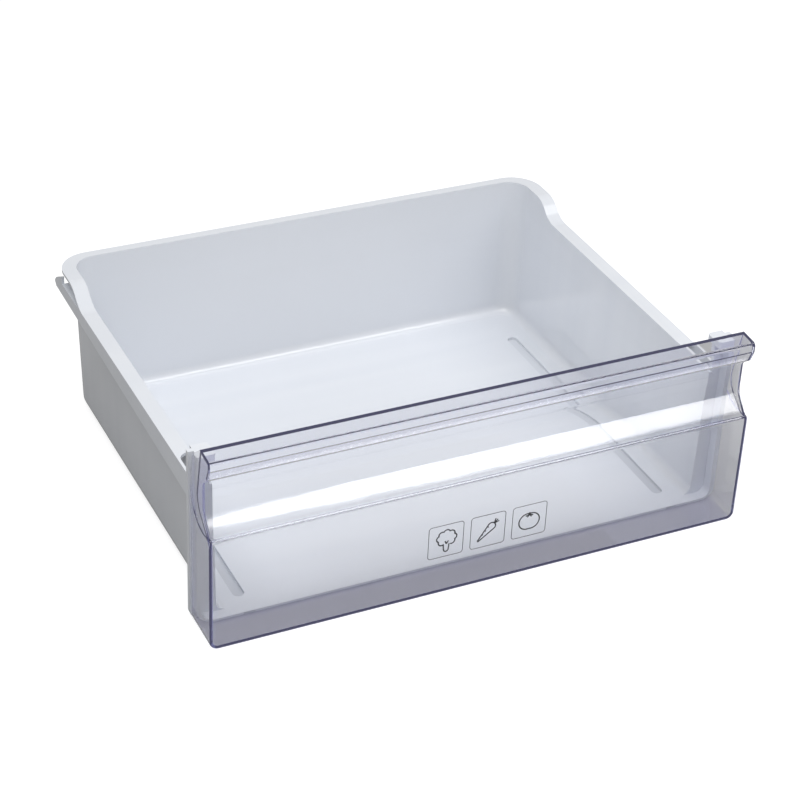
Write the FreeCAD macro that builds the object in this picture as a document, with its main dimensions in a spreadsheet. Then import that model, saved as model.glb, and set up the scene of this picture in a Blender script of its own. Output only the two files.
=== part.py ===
"""Crisper drawer of a fridge: a white moulded tub and a clear front cover that slides onto its collar.

Frame: X across, centred on the drawer. Y runs from the front to the back, Z is up, and the origin lies under
the middle of the drawer at the level of the cover's bottom. Inside each body Y counts from the front face.
Lengths are millimetres and angles degrees.
"""
import FreeCAD, Part
import os
import re
import Sketcher

doc = FreeCAD.newDocument("CrisperDrawer")

SIZES = [
    ("cover_width", 460.0, "clear cover, end wall to end wall"),
    ("cover_depth", 39.4, "front face to the rear edges, which seat on the flange"),
    ("cover_wall", 2.6, "wall of the clear moulding"),
    ("cover_corner_radius", 7.0, "round between bottom wall and end walls, outside"),
    ("cover_edge_radius", 1.8, "round along the edges of the front face"),
    ("ridge_height", 100.5, "top of the ridge above the front face"),
    ("ridge_radius", 3.0, "nose of the ridge"),
    ("ridge_flat", 7.2, "depth at which the ridge turns up into the finger recess"),
    ("recess_slope", 40.0, "climb of the recess floor"),
    ("recess_radius", 18.0, "sweep between recess floor and back sheet"),
    ("recess_depth", 26.4, "deepest place of the recess behind the front face"),
    ("recess_rise", 24.5, "height of that deepest place above the ridge"),
    ("sheet_lean", 11.0, "forward lean of the back sheet"),
    ("ledge_height", 168.0, "top of the grip ledge at its rear edge"),
    ("ledge_fall", 1.2, "drop of the ledge towards the front"),
    ("lip_setback", 3.6, "front of the lip behind the front face"),
    ("lip_radius", 3.2, "bend between ledge and lip, outside"),
    ("lip_knee_level", 158.6, "height at which the lip turns back"),
    ("lip_bottom_level", 149.0, "lower edge of the lip"),
    ("lip_bottom_setback", 7.5, "lower edge of the lip behind the front face"),
    ("lip_end_rise", 1.04, "inner edge of the lip's cut end above its outer edge"),
    ("ear_depth", 16.2, "front edge of the end walls beside the recess"),
    ("ear_foot", 4.7, "start of that edge's climb from the ridge"),
    ("ear_slope", 52.0, "climb of that edge above the ridge"),
    ("ear_radius", 14.0, "sweep between the climb and the upright edge"),
    ("ear_low_rise", 19.5, "lower end of the upright edge above the ridge"),
    ("ear_high_level", 140.0, "upper end of the upright edge"),
    ("ear_top_radius", 4.0, "bend above the upright edge, towards the end of the lip"),
    ("ear_top_reach", 2.0, "run of that bend to the front"),
    ("ear_top_rise", 3.5, "climb of that bend"),
    ("shoulder_level", 138.0, "height at which the rear edge of an end wall starts to round"),
    ("shoulder_setback", 33.0, "depth of the corner where it runs up to the ledge"),
    ("shoulder_height", 158.0, "height of that corner"),
    ("shoulder_radius", 32.0, "round of the rear edge"),
    ("ear_relief", 0.8, "step back of the outer face of the end walls round the recess"),
    ("relief_radius", 25.0, "sweep of that step's edge"),
    ("relief_setback", 14.0, "centre of the sweep behind the front face"),
    ("relief_rise", 23.5, "centre of the sweep above the ridge"),
    ("relief_start", 20.0, "turn of the sweep in front of its lowest point"),
    ("relief_front_drop", 8.5, "depth below the ridge at which the step's edge meets the front face"),
    ("relief_rear_reach", 2.5, "run of the edge past the sweep, which takes it out over the rear edge"),
    ("relief_rear_rise", 12.5, "climb of that run"),
    ("drawer_depth", 379.5, "front face to the rear edge of the rim"),
    ("tub_wall", 2.5, "wall of the white moulding"),
    ("floor_level", 5.0, "top of the tub's floor, which runs out flush into the collar"),
    ("side_inset", 19.5, "side of the cover to the inside of the tub at the floor"),
    ("floor_corner_radius", 17.0, "upright inside corners at the floor"),
    ("top_corner_radius", 19.0, "upright inside corners at the rear rim"),
    ("floor_fillet", 8.0, "round between floor and walls, inside"),
    ("side_draft", 1.4, "outward lean of the side walls"),
    ("rear_draft", 2.2, "outward lean of the rear wall"),
    ("rim_inset", 4.0, "side of the cover to the outer edge of the rim"),
    ("rear_rim_width", 8.5, "width of the rim along the rear wall"),
    ("rim_level", 124.0, "top of the rim along the sides"),
    ("rim_step", 14.0, "rise of the rim to the rear corners and the rear wall"),
    ("rim_thickness", 2.5, "thickness of the rim"),
    ("rim_corner_radius", 27.0, "outer corners of the rear rim"),
    ("rim_start", 75.0, "front end of the rim, from the front face"),
    ("step_length", 34.0, "length of the rim's step up"),
    ("step_inset", 42.5, "upper end of the step to the rear edge of the rim"),
    ("skirt_thickness", 2.2, "runner skirts under the rim"),
    ("skirt_front_level", 102.8, "lower edge of the skirts at their front end"),
    ("skirt_rise", 10.7, "climb of that edge to the rear, the lead-in of the runner"),
    ("wing_length", 20.0, "free wing behind each runner"),
    ("wing_inset", 1.5, "tip of the wing to the rear edge of the rim"),
    ("wing_rise", 7.0, "front end of the wing's top above the rim at the sides"),
    ("wing_slope_length", 16.0, "run of the wing's top, which falls to the rear"),
    ("wing_slope_drop", 8.6, "fall of that top"),
    ("wing_tip_height", 1.6, "height of the blunt tip of the wing"),
    ("wing_chamfer", 3.0, "cut lower corner of the wing's tip"),
    ("flange_overhang", 1.5, "flange beyond the sides of the cover"),
    ("flange_thickness", 4.0, "thickness of the flange and its posts"),
    ("flange_bottom_level", 0.5, "lower edge of the flange"),
    ("flange_corner_radius", 10.0, "lower corners of the flange"),
    ("seat_gap", 0.1, "gap between the cover's rear edges and the flange"),
    ("post_drop", 13.0, "top of the posts below the top of the grip ledge"),
    ("post_inset", 14.5, "side of the cover to the inner face of a post"),
    ("collar_clearance", 0.3, "gap between the collar and the cover that slides over it"),
    ("collar_wall", 4.0, "wall of the collar"),
    ("collar_length", 9.5, "reach of the collar into the cover"),
    ("collar_corner_radius", 12.0, "lower corners of the collar, outside"),
    ("cap_thickness", 6.0, "cap on each post"),
    ("cap_overhang", 2.0, "overhang of the cap past the post, towards the middle"),
    ("cap_rear_overhang", 4.0, "overhang of the cap behind the flange"),
    ("cap_corner_radius", 3.0, "upright corners of the cap's inner end"),
    ("channel_inset", 23.5, "inside of the tub at the floor to the middle of a floor channel"),
    ("channel_width", 9.5, "width of a floor channel"),
    ("channel_start", 49.5, "front end of a channel, from the front face"),
    ("channel_rear_inset", 62.0, "rear end of a channel to the rear edge of the rim"),
    ("channel_depth", 2.5, "depth of a channel, and drop of the skid under it"),
    ("overcut", 1.0, "reach of a cut past the faces that it takes away"),
]

sheet = doc.addObject("Spreadsheet::Sheet", "Sizes")
for row, (name, value, meaning) in enumerate(SIZES, start=1):
    sheet.set("A%d" % row, name)
    sheet.set("B%d" % row, str(value))
    sheet.set("C%d" % row, meaning)
    sheet.setAlias("B%d" % row, name)
doc.recompute()

NAMES = {name for name, value, meaning in SIZES}


def formula(text):
    """The text as an expression, with each size read from the sheet."""
    return re.sub(r"[a-z_]+", lambda word: "Sizes." + word[0] if word[0] in NAMES else word[0], text)


def number(text):
    """What the expression comes to now."""
    return float(sheet.evalExpression(formula(text)))


def origin_plane(body, role):
    return next(plane for plane in body.Origin.OriginFeatures if plane.Role == role)


def new_sketch(body, name, role, offset="0"):
    """An empty sketch on one of the body's origin planes, moved along the plane's normal by the offset."""
    sketch = body.newObject("Sketcher::SketchObject", name)
    sketch.AttachmentSupport = [(origin_plane(body, role), "")]
    sketch.MapMode = "FlatFace"
    sketch.setExpression("AttachmentOffset.Base.z", formula(offset))
    return sketch


def arc_between(start, end, radius, left_turn):
    """The short arc from start to end that turns left or right."""
    chord = end.sub(start)
    middle = start.add(end).multiply(0.5)
    height = max(radius ** 2 - (chord.Length / 2) ** 2, 0.0) ** 0.5
    side = FreeCAD.Vector(-chord.y, chord.x, 0).normalize().multiply(height if left_turn else -height)
    circle = Part.Circle(middle.add(side), FreeCAD.Vector(0, 0, 1), radius)
    first, last = (start, end) if left_turn else (end, start)
    first_angle = circle.parameter(first)
    last_angle = circle.parameter(last)
    return Part.ArcOfCircle(circle, first_angle, last_angle)


def outline(body, name, role, corners, offset="0"):
    """A sketch with one closed line through the corners.

    A corner is its two coordinates. A third entry bends the edge that leaves it into an arc of that radius,
    and a fourth says which way the arc turns. Every coordinate and radius is an expression of the sizes.
    """
    sketch = new_sketch(body, name, role, offset)
    points = [FreeCAD.Vector(number(corner[0]), number(corner[1]), 0) for corner in corners]
    ends = []
    for index, corner in enumerate(corners):
        start = points[index]
        end = points[(index + 1) % len(points)]
        if len(corner) == 2:
            edge = sketch.addGeometry(Part.LineSegment(start, end), False)
            ends.append((edge, 1, 2))
        else:
            left_turn = corner[3] == "left"
            edge = sketch.addGeometry(arc_between(start, end, number(corner[2]), left_turn), False)
            ends.append((edge, 1, 2) if left_turn else (edge, 2, 1))
            bend = sketch.addConstraint(Sketcher.Constraint("Radius", edge, number(corner[2])))
            sketch.setExpression("Constraints[%d]" % bend, formula(corner[2]))
    for index, corner in enumerate(corners):
        edge, start_end, _ = ends[index]
        last_edge, _, last_end = ends[index - 1]
        sketch.addConstraint(Sketcher.Constraint("Coincident", last_edge, last_end, edge, start_end))
        for direction, text in (("DistanceX", corner[0]), ("DistanceY", corner[1])):
            place = sketch.addConstraint(Sketcher.Constraint(direction, edge, start_end, number(text)))
            sketch.setExpression("Constraints[%d]" % place, formula(text))
    return sketch


def pad(body, name, sketch, length, reverse=False, both_ways=False):
    feature = body.newObject("PartDesign::Pad", name)
    feature.Profile = sketch
    feature.setExpression("Length", formula(length))
    feature.Reversed = reverse
    feature.SideType = "Symmetric" if both_ways else "One side"
    sketch.Visibility = False
    doc.recompute()
    return feature


def pocket(body, name, sketch, length, reverse=False, both_ways=False):
    """Cut the sketch out of the body, and stop if nothing was cut."""
    least_cut = 1.0
    volume_before = body.Shape.Volume
    feature = body.newObject("PartDesign::Pocket", name)
    feature.Profile = sketch
    feature.setExpression("Length", formula(length))
    feature.Reversed = reverse
    feature.SideType = "Symmetric" if both_ways else "One side"
    sketch.Visibility = False
    doc.recompute()
    if body.Shape.Volume > volume_before - least_cut:
        raise RuntimeError(name + " cuts nothing")
    return feature


def loft(body, name, kind, low_section, high_section):
    feature = body.newObject("PartDesign::" + kind, name)
    feature.Profile = low_section
    feature.Sections = [high_section]
    feature.Ruled = True
    doc.recompute()
    return feature


def round_edges(body, name, radius, wanted):
    """Fillet every edge of the body for which wanted(edge) is true."""
    base = body.Tip
    edges = ["Edge%d" % (index + 1) for index, edge in enumerate(base.Shape.Edges) if wanted(edge)]
    feature = body.newObject("PartDesign::Fillet", name)
    feature.Base = (base, edges)
    feature.setExpression("Radius", formula(radius))
    doc.recompute()
    return feature


def mirror(body, name, features):
    """Repeat the features on the other side of the drawer's middle."""
    feature = body.newObject("PartDesign::Mirrored", name)
    feature.Originals = features
    feature.MirrorPlane = (origin_plane(body, "YZ_Plane"), [""])
    body.Tip = feature
    doc.recompute()
    return feature


def new_body(name):
    body = doc.addObject("PartDesign::Body", name)
    body.Label = name
    body.setExpression("Placement.Base.y", formula("-drawer_depth / 2"))
    return body


def close_to(value, text, slack=0.01):
    return abs(value - number(text)) < slack


def runs_along(length, least=1.0):
    """Whether an edge with this extent along an axis runs along that axis."""
    return length > least


# Front cover. One sheet of even thickness runs up from the bottom wall over the ridge, through the finger
# recess and over the grip ledge, and two end walls close it.
cover = new_body("front_cover")

SWEEP_Y = "recess_depth - recess_radius"
RECESS_LEVEL = "(ridge_height + recess_rise)"
EAR_LOW_LEVEL = "(ridge_height + ear_low_rise)"
SHEET_TOP = ("(recess_depth - recess_radius + (recess_radius + cover_wall) * cos(sheet_lean)"
             " - (ledge_height - " + RECESS_LEVEL + " - (recess_radius + cover_wall) * sin(sheet_lean))"
             " * tan(sheet_lean))")
LIP_BEND = [
    ("lip_setback + lip_radius", "ledge_height - ledge_fall", "lip_radius", "left"),
    ("lip_setback", "ledge_height - ledge_fall - lip_radius"),
    ("lip_setback", "lip_knee_level"),
    ("lip_bottom_setback", "lip_bottom_level"),
]

sheet_profile = outline(cover, "SheetProfile", "YZ_Plane", [
    ("cover_depth", "0"),
    ("cover_depth", "cover_wall"),
    ("cover_wall", "cover_wall"),
    ("cover_wall", "ridge_height - cover_wall"),
    ("ridge_flat + cover_wall * tan(recess_slope / 2)", "ridge_height - cover_wall"),
    (SWEEP_Y + " + (recess_radius + cover_wall) * sin(recess_slope)",
     RECESS_LEVEL + " - (recess_radius + cover_wall) * cos(recess_slope)",
     "recess_radius + cover_wall", "left"),
    (SWEEP_Y + " + (recess_radius + cover_wall) * cos(sheet_lean)",
     RECESS_LEVEL + " + (recess_radius + cover_wall) * sin(sheet_lean)"),
    (SHEET_TOP, "ledge_height"),
    *LIP_BEND,
    ("lip_bottom_setback + cover_wall", "lip_bottom_level + lip_end_rise"),
    ("lip_setback + cover_wall", "lip_knee_level"),
    ("lip_setback + cover_wall", "ledge_height - ledge_fall - cover_wall"),
    (SHEET_TOP + " - cover_wall / cos(sheet_lean) + cover_wall * tan(sheet_lean)",
     "ledge_height - cover_wall"),
    (SWEEP_Y + " + recess_radius * cos(sheet_lean)",
     RECESS_LEVEL + " + recess_radius * sin(sheet_lean)", "recess_radius", "right"),
    (SWEEP_Y + " + recess_radius * sin(recess_slope)",
     RECESS_LEVEL + " - recess_radius * cos(recess_slope)"),
    ("ridge_flat", "ridge_height"),
    ("ridge_radius", "ridge_height", "ridge_radius", "left"),
    ("0", "ridge_height - ridge_radius"),
    ("0", "0"),
])
pad(cover, "Sheet", sheet_profile, "cover_width", both_ways=True)

end_profile = outline(cover, "EndProfile", "YZ_Plane", [
    ("0", "0"),
    ("cover_depth", "0"),
    ("cover_depth", "shoulder_level", "shoulder_radius", "left"),
    ("shoulder_setback", "shoulder_height"),
    (SHEET_TOP, "ledge_height"),
    *LIP_BEND,
    ("ear_depth - ear_top_reach", "ear_high_level + ear_top_rise", "ear_top_radius", "right"),
    ("ear_depth", "ear_high_level"),
    ("ear_depth", EAR_LOW_LEVEL, "ear_radius", "right"),
    ("ear_depth - ear_radius + ear_radius * sin(ear_slope)",
     EAR_LOW_LEVEL + " - ear_radius * cos(ear_slope)"),
    ("ear_foot", "ridge_height"),
    ("ridge_radius", "ridge_height", "ridge_radius", "left"),
    ("0", "ridge_height - ridge_radius"),
], offset="cover_width / 2")
end_wall = pad(cover, "EndWall", end_profile, "cover_wall", reverse=True)

mirror(cover, "EndWalls", [end_wall])

HALF_WIDTH = "cover_width / 2"
round_edges(cover, "BottomCorners", "cover_corner_radius", lambda edge: (
    close_to(edge.BoundBox.ZMax, "0") and runs_along(edge.BoundBox.YLength)
    and close_to(abs(edge.BoundBox.XMax + edge.BoundBox.XMin) / 2, HALF_WIDTH)))
round_edges(cover, "InnerBottomCorners", "cover_corner_radius - cover_wall", lambda edge: (
    close_to(edge.BoundBox.ZMax, "cover_wall") and close_to(edge.BoundBox.ZMin, "cover_wall")
    and close_to(abs(edge.BoundBox.XMax + edge.BoundBox.XMin) / 2, HALF_WIDTH + " - cover_wall")
    and runs_along(edge.BoundBox.YLength)))
round_edges(cover, "FrontEdges", "cover_edge_radius", lambda edge: (
    close_to(edge.BoundBox.YMax, "0") and close_to(edge.BoundBox.YMin, "0")
    and edge.BoundBox.ZMin < number("ridge_height - ridge_radius - overcut")))

RELIEF_LEVEL = "(ridge_height + relief_rise)"
relief_profile = outline(cover, "ReliefProfile", "YZ_Plane", [
    ("-overcut", "ledge_height + overcut"),
    ("-overcut", "ridge_height - relief_front_drop"),
    ("relief_setback - relief_radius * sin(relief_start)",
     RELIEF_LEVEL + " - relief_radius * cos(relief_start)", "relief_radius", "left"),
    ("relief_setback + relief_radius", RELIEF_LEVEL),
    ("relief_setback + relief_radius + relief_rear_reach", RELIEF_LEVEL + " + relief_rear_rise"),
    ("relief_setback + relief_radius + relief_rear_reach", "ledge_height + overcut"),
], offset="cover_width / 2")
relief = pocket(cover, "EarRelief", relief_profile, "ear_relief")
mirror(cover, "EarReliefs", [relief])

# Tub. The drafted walls are lofted between a section at the floor and one at the rear rim.
tub = new_body("tub")

FLOOR_HALF = "(cover_width / 2 - side_inset)"
FLOOR_UNDERSIDE = "(floor_level - tub_wall)"
REAR_LEVEL = "(rim_level + rim_step)"
RIM_HALF = "(cover_width / 2 - rim_inset)"
RIM_ROOT = "(%s + (rim_level - floor_level) * tan(side_draft) + tub_wall)" % FLOOR_HALF
SKIRT_INSIDE = "(%s - skirt_thickness)" % RIM_HALF
FLANGE_FRONT = "(cover_depth + seat_gap)"
WALL_FRONT = "(cover_depth + seat_gap + flange_thickness / 2)"


def tub_section(name, level, front, growth, radius):
    """A plan section of the tub at a level, rounded at the rear corners and open-ended at the front."""
    half = "(%s + (%s - floor_level) * tan(side_draft) + %s)" % (FLOOR_HALF, level, growth)
    rear = "(drawer_depth - rear_rim_width - (%s - %s) * tan(rear_draft) + %s)" % (REAR_LEVEL, level, growth)
    bend = "(%s + %s)" % (radius, growth)
    return outline(tub, name, "XY_Plane", [
        ("-" + half, front),
        (half, front),
        (half, rear + " - " + bend, bend, "left"),
        (half + " - " + bend, rear),
        (bend + " - " + half, rear, bend, "left"),
        ("-" + half, rear + " - " + bend),
    ], offset=level)


loft(tub, "Walls", "AdditiveLoft",
     tub_section("WallFoot", FLOOR_UNDERSIDE, WALL_FRONT, "tub_wall", "floor_corner_radius"),
     tub_section("WallTop", REAR_LEVEL, WALL_FRONT, "tub_wall", "top_corner_radius"))
STEP_END = "(drawer_depth - step_inset)"
STEP_START = "(drawer_depth - step_inset - step_length)"
STEP_RADIUS = "((step_length^2 + rim_step^2) / (4 * rim_step))"


def rim_line(drop):
    """The rim's side view from the front to the rear, lowered by the drop, with its S-shaped step."""
    return [
        (STEP_START, "rim_level - " + drop, STEP_RADIUS, "left"),
        (STEP_END + " - step_length / 2", "rim_level + rim_step / 2 - " + drop, STEP_RADIUS, "right"),
        (STEP_END, REAR_LEVEL + " - " + drop),
    ]


def backwards(line):
    """The same line walked from its rear end, with its arcs turned about."""
    turned = [line[-1]]
    for index in range(len(line) - 2, -1, -1):
        _, _, radius, turn = line[index]
        turned[-1] = turned[-1][:2] + (radius, "right" if turn == "left" else "left")
        turned.append(line[index][:2])
    return turned


rim_profile = outline(tub, "RimProfile", "YZ_Plane", [
    ("rim_start", "rim_level - rim_thickness"),
    *rim_line("rim_thickness"),
    ("drawer_depth", REAR_LEVEL + " - rim_thickness"),
    ("drawer_depth", REAR_LEVEL),
    *backwards(rim_line("0")),
    ("rim_start", "rim_level"),
])
pad(tub, "Rim", rim_profile, "2 * " + RIM_HALF, both_ways=True)
round_edges(tub, "RimCorners", "rim_corner_radius", lambda edge: (
    close_to(edge.BoundBox.YMin, "drawer_depth") and runs_along(edge.BoundBox.ZLength)
    and not runs_along(edge.BoundBox.XLength)))

WING_END = "(drawer_depth - wing_inset)"
WING_START = "(drawer_depth - wing_inset - wing_length)"
SKIRT_REAR_LEVEL = "(skirt_front_level + skirt_rise)"
skirt_profile = outline(tub, "SkirtProfile", "YZ_Plane", [
    (WALL_FRONT, "skirt_front_level"),
    (WING_END + " - wing_chamfer", SKIRT_REAR_LEVEL),
    (WING_END, SKIRT_REAR_LEVEL + " + wing_chamfer"),
    (WING_END, SKIRT_REAR_LEVEL + " + wing_chamfer + wing_tip_height"),
    (WING_START + " + wing_slope_length", "rim_level + wing_rise - wing_slope_drop"),
    (WING_START, "rim_level + wing_rise"),
    (WING_START, "rim_level"),
    (WALL_FRONT, "rim_level"),
], offset=RIM_HALF)
skirt = pad(tub, "Skirt", skirt_profile, "skirt_thickness", reverse=True)
runner_profile = outline(tub, "RunnerProfile", "XY_Plane", [
    (FLOOR_HALF, STEP_START),
    (RIM_HALF, STEP_START),
    (RIM_HALF, WING_START),
    (FLOOR_HALF, WING_START),
], offset="rim_level")
runner = pad(tub, "Runner", runner_profile, "rim_thickness", reverse=True)
rim_end_profile = outline(tub, "RimEndProfile", "XY_Plane", [
    (RIM_ROOT, "rim_start - overcut"),
    (SKIRT_INSIDE, "rim_start - overcut"),
    (SKIRT_INSIDE, "rim_start", SKIRT_INSIDE + " - " + RIM_ROOT, "left"),
    (RIM_ROOT, "rim_start + %s - %s" % (SKIRT_INSIDE, RIM_ROOT)),
], offset="rim_level")
rim_end = pocket(tub, "RimEnd", rim_end_profile, "rim_thickness")
mirror(tub, "Skirts", [skirt, runner, rim_end])

over_rim_profile = outline(tub, "OverRimProfile", "YZ_Plane", [
    ("cover_depth", "rim_level"),
    *rim_line("0"),
    (STEP_END, REAR_LEVEL + " + overcut"),
    ("cover_depth", REAR_LEVEL + " + overcut"),
])
pocket(tub, "OverRim", over_rim_profile, "2 * cover_width", both_ways=True)

FLANGE_HALF = "(cover_width / 2 + flange_overhang)"
flange_profile = outline(tub, "FlangeProfile", "XZ_Plane", [
    ("flange_corner_radius - " + FLANGE_HALF, "flange_bottom_level"),
    (FLANGE_HALF + " - flange_corner_radius", "flange_bottom_level", "flange_corner_radius", "left"),
    (FLANGE_HALF, "flange_bottom_level + flange_corner_radius"),
    (FLANGE_HALF, "rim_level"),
    ("-" + FLANGE_HALF, "rim_level"),
    ("-" + FLANGE_HALF, "flange_bottom_level + flange_corner_radius", "flange_corner_radius", "left"),
], offset="-" + FLANGE_FRONT)
pad(tub, "Flange", flange_profile, "flange_thickness", reverse=True)

COLLAR_FRONT = "(cover_depth + seat_gap - collar_length)"
loft(tub, "Cavity", "SubtractiveLoft",
     tub_section("CavityFloor", "floor_level", COLLAR_FRONT, "0", "floor_corner_radius"),
     tub_section("CavityTop", REAR_LEVEL, COLLAR_FRONT, "0", "top_corner_radius"))
round_edges(tub, "FloorRound", "floor_fillet", lambda edge: (
    close_to(edge.BoundBox.ZMax, "floor_level") and close_to(edge.BoundBox.ZMin, "floor_level")
    and edge.BoundBox.YMax > number(FLANGE_FRONT + " + overcut")))

round_edges(tub, "FootRound", "floor_fillet + tub_wall", lambda edge: (
    close_to(edge.BoundBox.ZMax, FLOOR_UNDERSIDE) and close_to(edge.BoundBox.ZMin, FLOOR_UNDERSIDE)
    and edge.BoundBox.YMax > number(FLANGE_FRONT + " + flange_thickness + overcut")))

# Collar, posts and caps at the front, where the cover slides on.
POST_TOP = "(ledge_height - post_drop)"
POST_INSIDE = "(cover_width / 2 - post_inset)"
COLLAR_HALF = "(cover_width / 2 - cover_wall - collar_clearance)"
COLLAR_BOTTOM = "(cover_wall + collar_clearance)"
INNER_HALF = "(%s - collar_wall)" % COLLAR_HALF
INNER_RADIUS = "(collar_corner_radius - collar_wall)"
collar_profile = outline(tub, "CollarProfile", "XZ_Plane", [
    ("collar_corner_radius - " + COLLAR_HALF, COLLAR_BOTTOM),
    (COLLAR_HALF + " - collar_corner_radius", COLLAR_BOTTOM, "collar_corner_radius", "left"),
    (COLLAR_HALF, COLLAR_BOTTOM + " + collar_corner_radius"),
    (COLLAR_HALF, POST_TOP),
    (INNER_HALF, POST_TOP),
    (INNER_HALF, "floor_level + " + INNER_RADIUS, INNER_RADIUS, "right"),
    (INNER_HALF + " - " + INNER_RADIUS, "floor_level"),
    (INNER_RADIUS + " - " + INNER_HALF, "floor_level", INNER_RADIUS, "right"),
    ("-" + INNER_HALF, "floor_level + " + INNER_RADIUS),
    ("-" + INNER_HALF, POST_TOP),
    ("-" + COLLAR_HALF, POST_TOP),
    ("-" + COLLAR_HALF, COLLAR_BOTTOM + " + collar_corner_radius", "collar_corner_radius", "left"),
], offset="-" + FLANGE_FRONT)
pad(tub, "Collar", collar_profile, "collar_length")

post_profile = outline(tub, "PostProfile", "XZ_Plane", [
    (POST_INSIDE, "rim_level"),
    (FLANGE_HALF, "rim_level"),
    (FLANGE_HALF, POST_TOP),
    (POST_INSIDE, POST_TOP),
], offset="-" + FLANGE_FRONT)
post = pad(tub, "Post", post_profile, "flange_thickness", reverse=True)
CAP_INSIDE = "(%s - cap_overhang)" % POST_INSIDE
CAP_REAR = "(%s + flange_thickness + cap_rear_overhang)" % FLANGE_FRONT
cap_profile = outline(tub, "CapProfile", "XY_Plane", [
    (CAP_INSIDE + " + cap_corner_radius", COLLAR_FRONT),
    (COLLAR_HALF, COLLAR_FRONT),
    (COLLAR_HALF, CAP_REAR),
    (CAP_INSIDE + " + cap_corner_radius", CAP_REAR, "cap_corner_radius", "left"),
    (CAP_INSIDE, CAP_REAR + " - cap_corner_radius"),
    (CAP_INSIDE, COLLAR_FRONT + " + cap_corner_radius", "cap_corner_radius", "left"),
], offset=POST_TOP)
cap = pad(tub, "Cap", cap_profile, "cap_thickness", reverse=True)
mirror(tub, "Posts", [post, cap])


# Floor channels, each with a skid under it.
def slot_outline(name, growth, level):
    """A slot with round ends that runs from front to back at the right-hand floor channel."""
    middle = FLOOR_HALF + " - channel_inset"
    half = "(channel_width / 2 + %s)" % growth
    front = "channel_start - " + growth
    rear = "drawer_depth - channel_rear_inset + " + growth
    return outline(tub, name, "XY_Plane", [
        (middle + " - " + half, front + " + " + half, half, "left"),
        (middle, front, half, "left"),
        (middle + " + " + half, front + " + " + half),
        (middle + " + " + half, rear + " - " + half, half, "left"),
        (middle, rear, half, "left"),
        (middle + " - " + half, rear + " - " + half),
    ], offset=level)


skid_profile = slot_outline("SkidProfile", "tub_wall", FLOOR_UNDERSIDE)
skid = pad(tub, "Skid", skid_profile, "channel_depth", reverse=True)
channel_profile = slot_outline("ChannelProfile", "0", "floor_level")
channel = pocket(tub, "Channel", channel_profile, "channel_depth")
mirror(tub, "Channels", [skid, channel])


def check_and_write(body):
    """Stop at a failed feature or a bad solid, or else write the piece to its file."""
    failed = [item.Name for item in doc.Objects if "Invalid" in item.State or "Error" in item.State]
    if failed:
        raise RuntimeError("failed: " + ", ".join(failed))
    shape = body.Shape
    if shape.isNull() or not shape.isValid() or len(shape.Solids) != 1:
        raise RuntimeError(body.Label + " is not one valid solid")
    shape.exportStep("parts/" + body.Label + ".step")
    box = shape.BoundBox
    print(body.Label, round(shape.Volume), [round(v, 2) for v in (
        box.XMin, box.XMax, box.YMin, box.YMax, box.ZMin, box.ZMax)])


os.makedirs("parts", exist_ok=True)
doc.recompute()
for finished in (tub, cover):
    check_and_write(finished)
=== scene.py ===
from math import cos, pi, radians, sin

import bmesh
import bpy
from mathutils import Matrix, Vector


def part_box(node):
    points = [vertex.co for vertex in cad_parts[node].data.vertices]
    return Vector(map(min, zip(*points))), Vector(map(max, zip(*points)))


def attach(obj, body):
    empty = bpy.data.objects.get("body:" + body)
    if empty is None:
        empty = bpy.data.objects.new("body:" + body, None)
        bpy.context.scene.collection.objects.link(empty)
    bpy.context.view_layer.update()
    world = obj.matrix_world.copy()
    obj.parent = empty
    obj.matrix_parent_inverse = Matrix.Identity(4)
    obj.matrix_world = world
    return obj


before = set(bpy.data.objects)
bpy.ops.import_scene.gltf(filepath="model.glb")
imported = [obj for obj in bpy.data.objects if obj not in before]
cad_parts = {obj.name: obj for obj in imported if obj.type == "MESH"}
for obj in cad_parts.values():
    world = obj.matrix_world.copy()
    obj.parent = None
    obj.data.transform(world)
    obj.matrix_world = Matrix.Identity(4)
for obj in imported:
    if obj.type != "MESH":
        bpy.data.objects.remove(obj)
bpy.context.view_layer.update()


# Tub. One white injection moulding of polystyrene. Its satin skin has the faint mottle and orange peel of its
# mould, soft flow lines across the floor and a thin gloss, which is weaker on the rim. The flow lines vary
# the roughness a little, and their lighter and darker colour is a painted reflection of the satin floor's
# soft sheen.
# The two floor channels are painted a shade greyer than the floor, most of all towards the front: painted
# shade in their recesses.
white_low = (0.806, 0.835, 0.888, 1.0)
white_high = (0.848, 0.873, 0.917, 1.0)
# How much of the white's colour comes from the streaks, which paint in the soft reflections of the satin
# floor.
sheen_share = 0.6
flow_stretch = (2.0, 34.0, 2.0)
# The colour of the painted shade in the two floor channels.
channel_painted_shade = (0.64, 0.665, 0.715, 1.0)
channel_place = 0.187
channel_half_width = 0.0048
channel_top = 0.0047
channel_bottom = 0.0024
facing_down = -0.5


class Socket:
    """One output of a node. Arithmetic and comparisons add the Math nodes that work them out."""

    def __init__(self, wiring, output):
        self.wiring = wiring
        self.output = output

    def math(self, operation, other=None):
        values = {0: self} if other is None else {0: self, 1: other}
        return self.wiring.node("ShaderNodeMath", {"operation": operation}, values)

    def __abs__(self):
        return self.math("ABSOLUTE")

    def __add__(self, other):
        return self.math("ADD", other)

    def __mul__(self, other):
        return self.math("MULTIPLY", other)

    def __sub__(self, other):
        return self.math("SUBTRACT", other)

    def __rsub__(self, other):
        return self * -1.0 + other

    def __lt__(self, other):
        return self.math("LESS_THAN", other)

    def __gt__(self, other):
        return self.math("GREATER_THAN", other)

    __radd__ = __add__
    __rmul__ = __mul__


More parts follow.
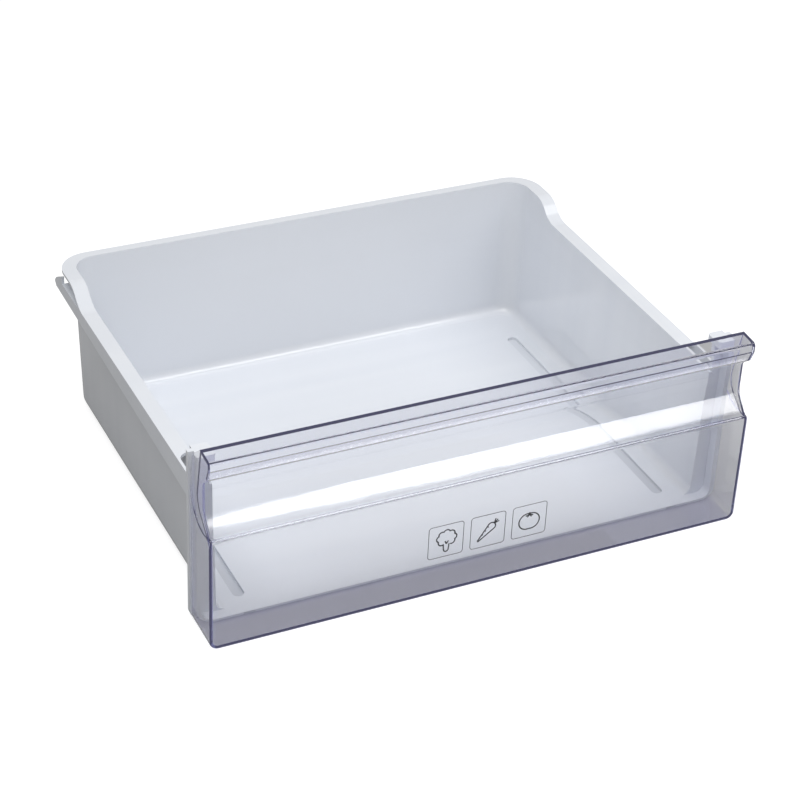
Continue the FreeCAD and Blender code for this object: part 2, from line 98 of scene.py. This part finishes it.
class Wiring:
    """The nodes of a material or of the room, added and linked by plain calls."""

    def __init__(self, tree):
        self.tree = tree

    def node(self, kind, settings, values, output=0):
        """Add a node, make its settings, fill its sockets with values or links, and return an output."""
        made = self.tree.nodes.new(kind)
        for setting, choice in settings.items():
            setattr(made, setting, choice)
        for socket, value in values.items():
            self.feed(made, socket, value)
        return Socket(self, made.outputs[output])

    def feed(self, node, socket, value):
        """Link a Socket, or write a number or a colour."""
        if isinstance(value, Socket):
            self.tree.links.new(value.output, node.inputs[socket])
        else:
            node.inputs[socket].default_value = value

    def ray(self, kind):
        """What is known of the ray that arrives, such as whether it comes from the camera."""
        return self.node("ShaderNodeLightPath", {}, {}, kind)


class Finish(Wiring):
    """A material with one Principled shader."""

    def __init__(self, name):
        self.data = bpy.data.materials.new(name)
        self.data.use_nodes = True
        super().__init__(self.data.node_tree)
        self.shader = self.tree.nodes["Principled BSDF"]
        self.material_output = self.tree.nodes["Material Output"]
        self.place = self.node("ShaderNodeTexCoord", {}, {}, "Object")

    def set(self, **sockets):
        """Fill sockets of the Principled shader, whose names have underscores here for their blanks."""
        for name, value in sockets.items():
            self.feed(self.shader, name.replace("_", " "), value)

    def along(self, axis, vector):
        """How far a place lies along an axis, or how much a direction points along it."""
        return self.node("ShaderNodeSeparateXYZ", {}, {0: vector}, axis)

    def noise(self, vector, scale, detail):
        return self.node("ShaderNodeTexNoise", {}, {"Vector": vector, "Scale": scale, "Detail": detail})

    def blend(self, mask, low, high):
        """The low colour where the mask is 0 and the high one where it is 1.

        The node's inputs 6 and 7 and its output 2 are those for colours.
        """
        return self.node("ShaderNodeMix", {"data_type": "RGBA"}, {0: mask, 6: low, 7: high}, 2)

    def slope(self, value, start, end, first, last):
        """A number that goes from first to last as the value goes from start to end."""
        return self.node("ShaderNodeMapRange", {}, {
            "Value": value, "From Min": start, "From Max": end, "To Min": first, "To Max": last})

    def bump(self, height, strength, distance):
        return self.node("ShaderNodeBump", {}, {"Height": height, "Strength": strength, "Distance": distance})

    def dress(self, name):
        """Make this the one material of a piece from CAD."""
        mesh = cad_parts[name].data
        mesh.materials.clear()
        mesh.materials.append(self.data)


tub_finish = Finish("white_plastic")
mottle = tub_finish.noise(tub_finish.place, scale=9.0, detail=3.0)
peel = tub_finish.noise(tub_finish.place, scale=420.0, detail=2.0)
stretched = tub_finish.node("ShaderNodeMapping", {}, {"Vector": tub_finish.place, "Scale": flow_stretch})
streaks = tub_finish.noise(stretched, scale=1.0, detail=2.0)
flow_and_sheen = tub_finish.slope(streaks, start=0.35, end=0.65, first=0.0, last=1.0)
# The mottle is the mould's own random tone. The streaks mixed into it are a painted reflection of the floor's
# sheen.
white_with_sheen = tub_finish.blend(mottle * (1.0 - sheen_share) + flow_and_sheen * sheen_share, white_low, white_high)

aside = tub_finish.along("X", tub_finish.place)
backwards = tub_finish.along("Y", tub_finish.place)
height = tub_finish.along("Z", tub_finish.place)
upwards = tub_finish.along("Z", tub_finish.node("ShaderNodeTexCoord", {}, {}, "Normal"))
# Where painted shade darkens the two floor channels: their floors only, and more of it towards the front.
channel_shade_mask = (
    (abs(abs(aside) - channel_place) < channel_half_width)
    * (height < channel_top)
    * (height > channel_bottom)
    * (upwards > facing_down)
    * tub_finish.slope(backwards, start=-0.15, end=0.05, first=1.0, last=0.35)
)
tub_finish.set(
    Base_Color=tub_finish.blend(channel_shade_mask, white_with_sheen, channel_painted_shade),
    Roughness=mottle * 0.02 + flow_and_sheen * 0.04 + 0.19,
    Normal=tub_finish.bump(peel, strength=0.06, distance=0.0004),
    Specular_IOR_Level=0.35,
    Coat_Weight=tub_finish.slope(height, start=0.09, end=0.11, first=1.0, last=0.4),
    Coat_Roughness=0.10,
)
tub_finish.dress("tub")


# Front cover. One clear injection moulding of polystyrene, pushed onto the tub's collar. A faint violet cast
# shows where light goes a long way through it. Rays still caught in it after several bounces meet a faint
# glow, in place of the light that they would find further on, and the lamps shine through it.
violet_cast = (0.45, 0.45, 0.88, 1.0)
cast_density = 3.0
lamp_light_through = (0.54, 0.54, 0.54, 1.0)
no_glow = (0.0, 0.0, 0.0, 1.0)
violet_glow = (0.12, 0.12, 0.24, 1.0)

cover_finish = Finish("clear_plastic")
waviness = cover_finish.noise(cover_finish.place, scale=35.0, detail=1.0)
caught = cover_finish.slope(cover_finish.ray("Ray Depth"), start=4.0, end=7.0, first=0.0, last=1.0)
cover_finish.set(
    Base_Color=(0.985, 0.987, 1.0, 1.0),
    Roughness=waviness * 0.02 + 0.015,
    IOR=1.55,
    Transmission_Weight=1.0,
    Emission_Color=cover_finish.blend(caught, no_glow, violet_glow),
    Emission_Strength=0.5,
    Normal=cover_finish.bump(waviness, strength=0.01, distance=0.001),
)
clear = Socket(cover_finish, cover_finish.shader.outputs[0])
passing = cover_finish.node("ShaderNodeBsdfTransparent", {}, {"Color": lamp_light_through})
lamp_ray = cover_finish.ray("Is Shadow Ray")
surface = cover_finish.node("ShaderNodeMixShader", {}, {0: lamp_ray, 1: clear, 2: passing})
cast = cover_finish.node("ShaderNodeVolumeAbsorption", {}, {"Color": violet_cast, "Density": cast_density})
cover_finish.feed(cover_finish.material_output, "Surface", surface)
cover_finish.feed(cover_finish.material_output, "Volume", cast)
cover_finish.dress("front_cover")


# Pictograms. Three rounded squares with a head of broccoli, a carrot and a tomato, screen-printed in grey ink
# on the inside of the clear front, where hands and water don't reach them. Each stroke is a flat film that
# holds in the plastic. The drawings are sized in millimetres, and their places on the cover in metres.
front_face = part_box("front_cover")[0][1]
front_wall = 0.0026
ink_hold = 0.00003
ink_depth = 0.00008
ink_level = front_face + front_wall - ink_hold
square_pitch = 0.0362
squares_height = 0.0489
square_side = 29.8
square_corner = 2.6
square_stroke = 0.55
drawing_stroke = 1.1
arc_step = 12
fewest_steps = 4
meeting_distance = 0.001
millimetre = 0.001


def points(geometry):
    """The vertices among what an operator made."""
    return [item for item in geometry if isinstance(item, bmesh.types.BMVert)]


def put_in_scene(name, data):
    """Add an object at the origin that holds a mesh, a lamp or a camera."""
    added = bpy.data.objects.new(name, data)
    bpy.context.scene.collection.objects.link(added)
    return added


def finished(name, shape, finish):
    """Make a piece of one material out of a shape."""
    mesh = bpy.data.meshes.new(name)
    shape.to_mesh(mesh)
    shape.free()
    mesh.materials.append(finish.data)
    return put_in_scene(name, mesh)


class Drawing:
    """Strokes of one width on the inner face of the cover, placed from the middle of a pictogram."""

    def __init__(self, stroke):
        self.shape = bmesh.new()
        self.stroke = stroke

    def line(self, start, end):
        """A straight stroke between two places."""
        first = Vector((start[0], 0.0, start[1]))
        along = Vector((end[0] - start[0], 0.0, end[1] - start[1]))
        across = Vector((-along.z, 0.0, along.x)).normalized() * self.stroke / 2
        pair = [self.shape.verts.new(first + across), self.shape.verts.new(first - across)]
        swept = bmesh.ops.extrude_edge_only(self.shape, edges=[self.shape.edges.new(pair)])["geom"]
        bmesh.ops.translate(self.shape, vec=along, verts=points(swept))

    def arc(self, centre, radius, start, sweep):
        """A round stroke from an angle through a sweep, in degrees counted from the right upwards."""
        middle = Vector((centre[0], 0.0, centre[1]))
        away = Vector((cos(radians(start)), 0.0, sin(radians(start))))
        pair = [self.shape.verts.new(middle + away * (radius + side * self.stroke / 2)) for side in (-1, 1)]
        bmesh.ops.spin(
            self.shape, geom=[*pair, self.shape.edges.new(pair)], cent=middle, axis=(0.0, -1.0, 0.0),
            angle=radians(sweep), steps=max(fewest_steps, round(abs(sweep) / arc_step)))

    def turn(self, degrees):
        """Turn all strokes so far about the middle of the pictogram."""
        bmesh.ops.rotate(
            self.shape, verts=self.shape.verts[:], cent=(0.0, 0.0, 0.0),
            matrix=Matrix.Rotation(radians(-degrees), 3, "Y"))

    def print(self, name, ink, place):
        """Scale the drawing to metres, put it in its place and give the strokes their film of ink."""
        verts = self.shape.verts
        bmesh.ops.remove_doubles(self.shape, verts=verts[:], dist=meeting_distance)
        bmesh.ops.scale(self.shape, vec=(millimetre, millimetre, millimetre), verts=verts[:])
        bmesh.ops.translate(self.shape, vec=(place, ink_level, squares_height), verts=verts[:])
        film = bmesh.ops.extrude_face_region(self.shape, geom=self.shape.faces[:])["geom"]
        bmesh.ops.translate(self.shape, vec=(0.0, ink_depth, 0.0), verts=points(film))
        bmesh.ops.recalc_face_normals(self.shape, faces=self.shape.faces[:])
        printed = finished(name, self.shape, ink)
        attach(printed, "front_cover")


def ink_finish(name, low, high):
    """Matt ink with the fine grain of the screen."""
    ink = Finish(name)
    grain = ink.noise(ink.place, scale=900.0, detail=2.0)
    ink.set(Base_Color=ink.blend(grain, low, high), Roughness=0.55)
    return ink


frame_ink = ink_finish("frame_ink", (0.10, 0.10, 0.11, 1.0), (0.14, 0.14, 0.15, 1.0))
drawing_ink = ink_finish("drawing_ink", (0.03, 0.03, 0.035, 1.0), (0.05, 0.05, 0.055, 1.0))

half_side = square_side / 2
straight = half_side - square_corner
for column, name in ((-1, "broccoli"), (0, "carrot"), (1, "tomato")):
    square = Drawing(square_stroke)
    for side in range(4):
        square.line((-straight, half_side), (straight, half_side))
        square.arc((straight, straight), square_corner, 90, -90)
        square.turn(90)
    square.print(name + "_square", frame_ink, column * square_pitch)

# The broccoli has a head of seven round bumps, open below, a stalk with a round foot and two twigs.
head = (0.6, 2.2)
head_wide = 5.7
head_high = 4.9
bump_radius = 2.9
bump_sweep = 144
bump_spacing = 44
broccoli = Drawing(drawing_stroke)
for bump in range(-3, 4):
    outwards = 90 + bump * bump_spacing
    middle = (head[0] + head_wide * cos(radians(outwards)), head[1] + head_high * sin(radians(outwards)))
    broccoli.arc(middle, bump_radius, outwards - bump_sweep / 2, bump_sweep)
broccoli.line((-2.2, -3.0), (-1.6, -8.6))
broccoli.line((2.8, -3.4), (2.4, -8.6))
broccoli.arc((0.4, -8.4), 2.0, 180, 180)
broccoli.line((0.4, -3.2), (-0.6, -0.4))
broccoli.line((0.4, -3.2), (2.2, -0.6))
broccoli.print("broccoli", drawing_ink, -square_pitch)

# The carrot is drawn lying, with its tip to the left, three short rings that start near its upper flank and
# three sprigs, and is then turned.
crown = 7.6
sprig_length = 4.4
carrot = Drawing(drawing_stroke)
carrot.line((-11.6, -0.5), (4.6, -3.4))
carrot.line((-11.6, 0.5), (4.6, 3.4))
carrot.arc((-11.5, 0.0), 0.5, 90, 180)
carrot.arc((4.4, 0.0), 3.4, -88, 176)
for ring, reach in ((-5.6, 1.0), (-1.6, 1.4), (2.2, 1.6)):
    to_shoulder = 2.2 - ring
    carrot.line((ring, 3.0 - reach - 0.2 * to_shoulder), (ring, 2.9 - 0.18 * to_shoulder))
for sprig in (-28, 0, 28):
    tip = (crown + sprig_length * cos(radians(sprig)), sprig_length * sin(radians(sprig)))
    carrot.line((crown, 0.0), tip)
carrot.turn(46)
carrot.print("carrot", drawing_ink, 0.0)

# The tomato is two round halves, with four leaves and the stub of its stem on top.
half_radius = 7.4
half_sweep = 202.5
stem_foot = 5.6
leaf_flatness = 0.8
tomato = Drawing(drawing_stroke)
tomato.arc((-1.6, -0.8), half_radius, 80, half_sweep)
tomato.arc((1.6, -0.8), half_radius, -102.5, half_sweep)
for leaf, reach in ((-60, 3.6), (-25, 3.6), (90, 2.6), (205, 3.6), (240, 3.6)):
    tip = (reach * cos(radians(leaf)), stem_foot + reach * sin(radians(leaf)) * leaf_flatness)
    tomato.line((0.0, stem_foot), tip)
tomato.print("tomato", drawing_ink, square_pitch)


# Floor and backdrop. One wide sheet of white paper lies just under the part, with a gap so that the two don't
# share a plane. The camera sees it as white where no shadow falls, and the clear cover shows it darker.
floor_reach = 6.0
floor_gap = 0.0002
paper_grey = (0.40, 0.40, 0.40, 1.0)
seen_directly = 0.80
seen_through_cover = 0.07

floor_finish = Finish("floor_paper")
floor_finish.set(
    Base_Color=paper_grey,
    Roughness=0.9,
    Emission_Color=(1.0, 1.0, 1.0, 1.0),
    Emission_Strength=(
        floor_finish.ray("Is Camera Ray") * seen_directly
        + floor_finish.ray("Is Transmission Ray") * seen_through_cover),
)
floor_shape = bmesh.new()
bmesh.ops.create_grid(
    floor_shape, x_segments=1, y_segments=1, size=floor_reach,
    matrix=Matrix.Translation((0.0, 0.0, -floor_gap)))
floor = finished("floor", floor_shape, floor_finish)


# Light. An even white room, which the camera sees as pure white, a soft box high in front of each side of the
# part, and a long narrow lamp whose reflection is the white band across the cover's finger recess.
room_level = 0.38

world = bpy.data.worlds.new("room")
world.use_nodes = True
bpy.context.scene.world = world
room = Wiring(world.node_tree)
background = world.node_tree.nodes["Background"]
room.feed(background, "Color", (1.0, 1.0, 1.0, 1.0))
room.feed(background, "Strength", room.ray("Is Camera Ray") * (1.0 - room_level) + room_level)


def soft_box(name, place, width, depth, power, shape):
    """A lamp that faces straight down."""
    lamp = bpy.data.lights.new(name, "AREA")
    lamp.shape = shape
    lamp.size = width
    lamp.size_y = depth
    lamp.energy = power
    put_in_scene(name, lamp).location = place


soft_box("left_light", (-0.63, -0.65, 2.0), width=1.2, depth=1.2, power=21.2, shape="RECTANGLE")
soft_box("right_light", (0.93, -0.47, 1.6), width=1.3, depth=0.74, power=10.9, shape="RECTANGLE")
soft_box("strip_light", (0.985, -0.958, 1.6), width=1.55, depth=0.036, power=0.78, shape="ELLIPSE")


# Camera. It stands off the left front corner, where the photograph was taken from, and looks down at the part
# through a long lens. It is rolled a little to one side.
camera_place = (-0.6827, front_face - 1.2062, 1.0494)
camera_yaw = radians(26.47)
camera_pitch = radians(32.57)
camera_roll = radians(2.79)

camera_data = bpy.data.cameras.new("camera")
camera_data.sensor_width = 36.0
camera_data.lens = 99.1
camera = put_in_scene("camera", camera_data)
camera.matrix_world = (
    Matrix.Translation(camera_place)
    @ Matrix.Rotation(-camera_yaw, 4, "Z")
    @ Matrix.Rotation(pi / 2 - camera_pitch, 4, "X")
    @ Matrix.Rotation(camera_roll, 4, "Z")
)
bpy.context.scene.camera = camera
bpy.context.scene.view_settings.view_transform = "Standard"
